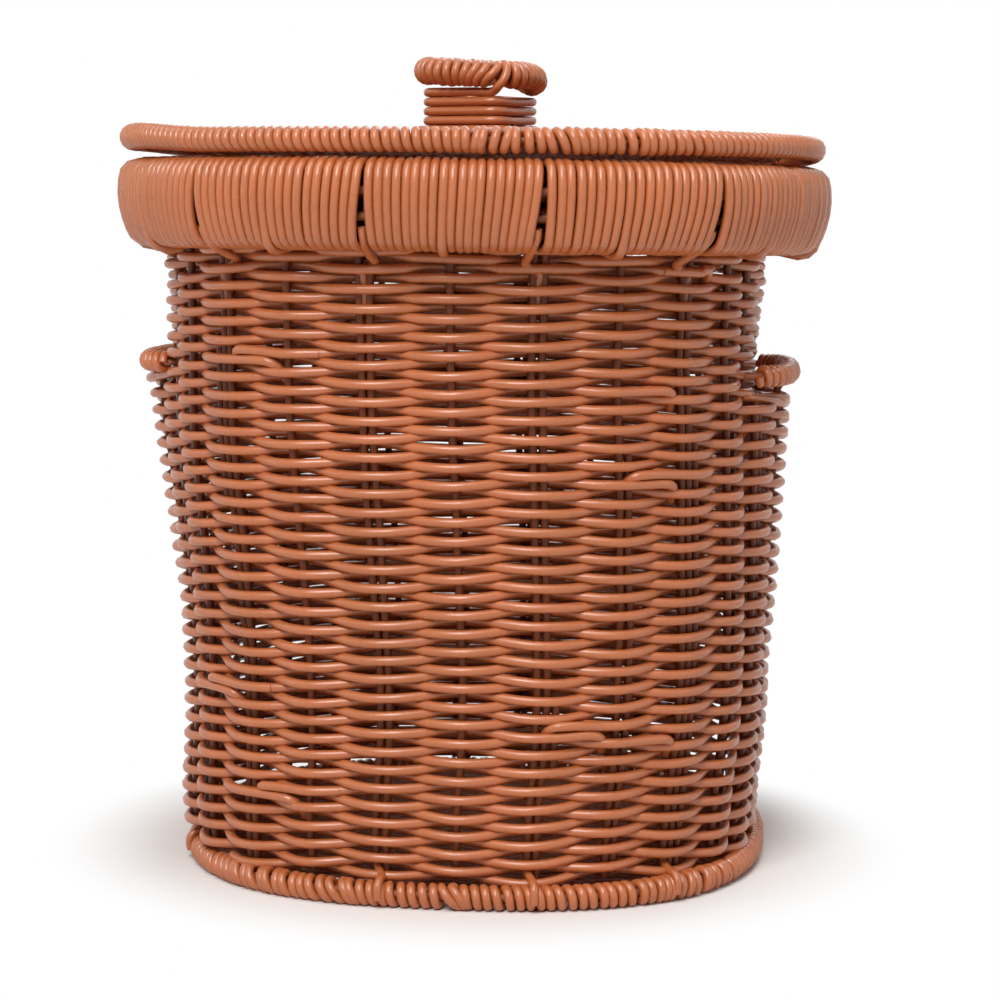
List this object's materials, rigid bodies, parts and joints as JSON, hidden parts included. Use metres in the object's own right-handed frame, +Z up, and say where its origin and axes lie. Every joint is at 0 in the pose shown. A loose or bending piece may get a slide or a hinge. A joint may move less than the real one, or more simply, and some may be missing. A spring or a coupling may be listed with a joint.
{
  "type": "laundry hamper",
  "caption": "Round woven laundry hamper with a wrapped rim band, side bail handles over wall pockets, and a lift-off lid with a wound knob and ring",
  "frame": {"origin": "centre of the base, on the surface that the hamper stands on", "axes": "+Z up; the handles lie at -X and +X; the face in the picture looks to -Y, turned about six degrees"},
  "size_m": [0.399, 0.399, 0.4476],
  "materials": {
    "strand": "satin orange-brown round plastic strand",
    "core": "satin brown plastic rod"
  },
  "bodies": {
    "basket": {"base_border_wrap": "strand", "base_weave": "strand", "lower_wall_weave": "strand", "upper_wall_weave": "strand", "left_bail_wrap": "strand", "right_bail_wrap": "strand", "rim_band_wrap": "strand", "base_border_hoop": "core", "base_stick_x_1": "core", "base_stick_x_2": "core", "base_stick_y_1": "core", "base_stick_y_2": "core", "left_bail_core": "core", "right_bail_core": "core", "rim_top_hoop": "core", "rim_low_hoop": "core", "stake_01": "strand", "stake_02": "strand", "stake_03": "strand", "stake_04": "strand", "stake_05": "strand", "stake_10": "strand", "stake_11": "strand", "stake_12": "strand", "stake_13": "strand", "stake_14": "strand", "stake_15": "strand", "stake_16": "strand", "stake_17": "strand", "stake_18": "strand", "stake_19": "strand", "stake_23": "strand", "stake_24": "strand", "stake_25": "strand", "stake_26": "strand", "stake_27": "strand", "pocket_stake_06": "strand", "pocket_stake_07": "strand", "pocket_stake_08": "strand", "pocket_stake_09": "strand", "pocket_stake_20": "strand", "pocket_stake_21": "strand", "pocket_stake_22": "strand", "upper_stake_06": "strand", "upper_stake_07": "strand", "upper_stake_08": "strand", "upper_stake_09": "strand", "upper_stake_20": "strand", "upper_stake_21": "strand", "upper_stake_22": "strand"},
    "lid": {"lid_rim_wrap": "strand", "lid_weave": "strand", "knob_winding": "strand", "knob_ring_wrap": "strand", "lid_rim_hoop": "core", "lid_stick_x": "core", "lid_stick_y": "core", "knob_post": "core", "knob_ring_core": "core"}
  },
  "joints": [
    {"name": "lid_lift", "type": "slide", "parent": "basket", "child": "lid", "axis": [0, 0, 1], "range_m": [0, 0.25]}
  ]
}
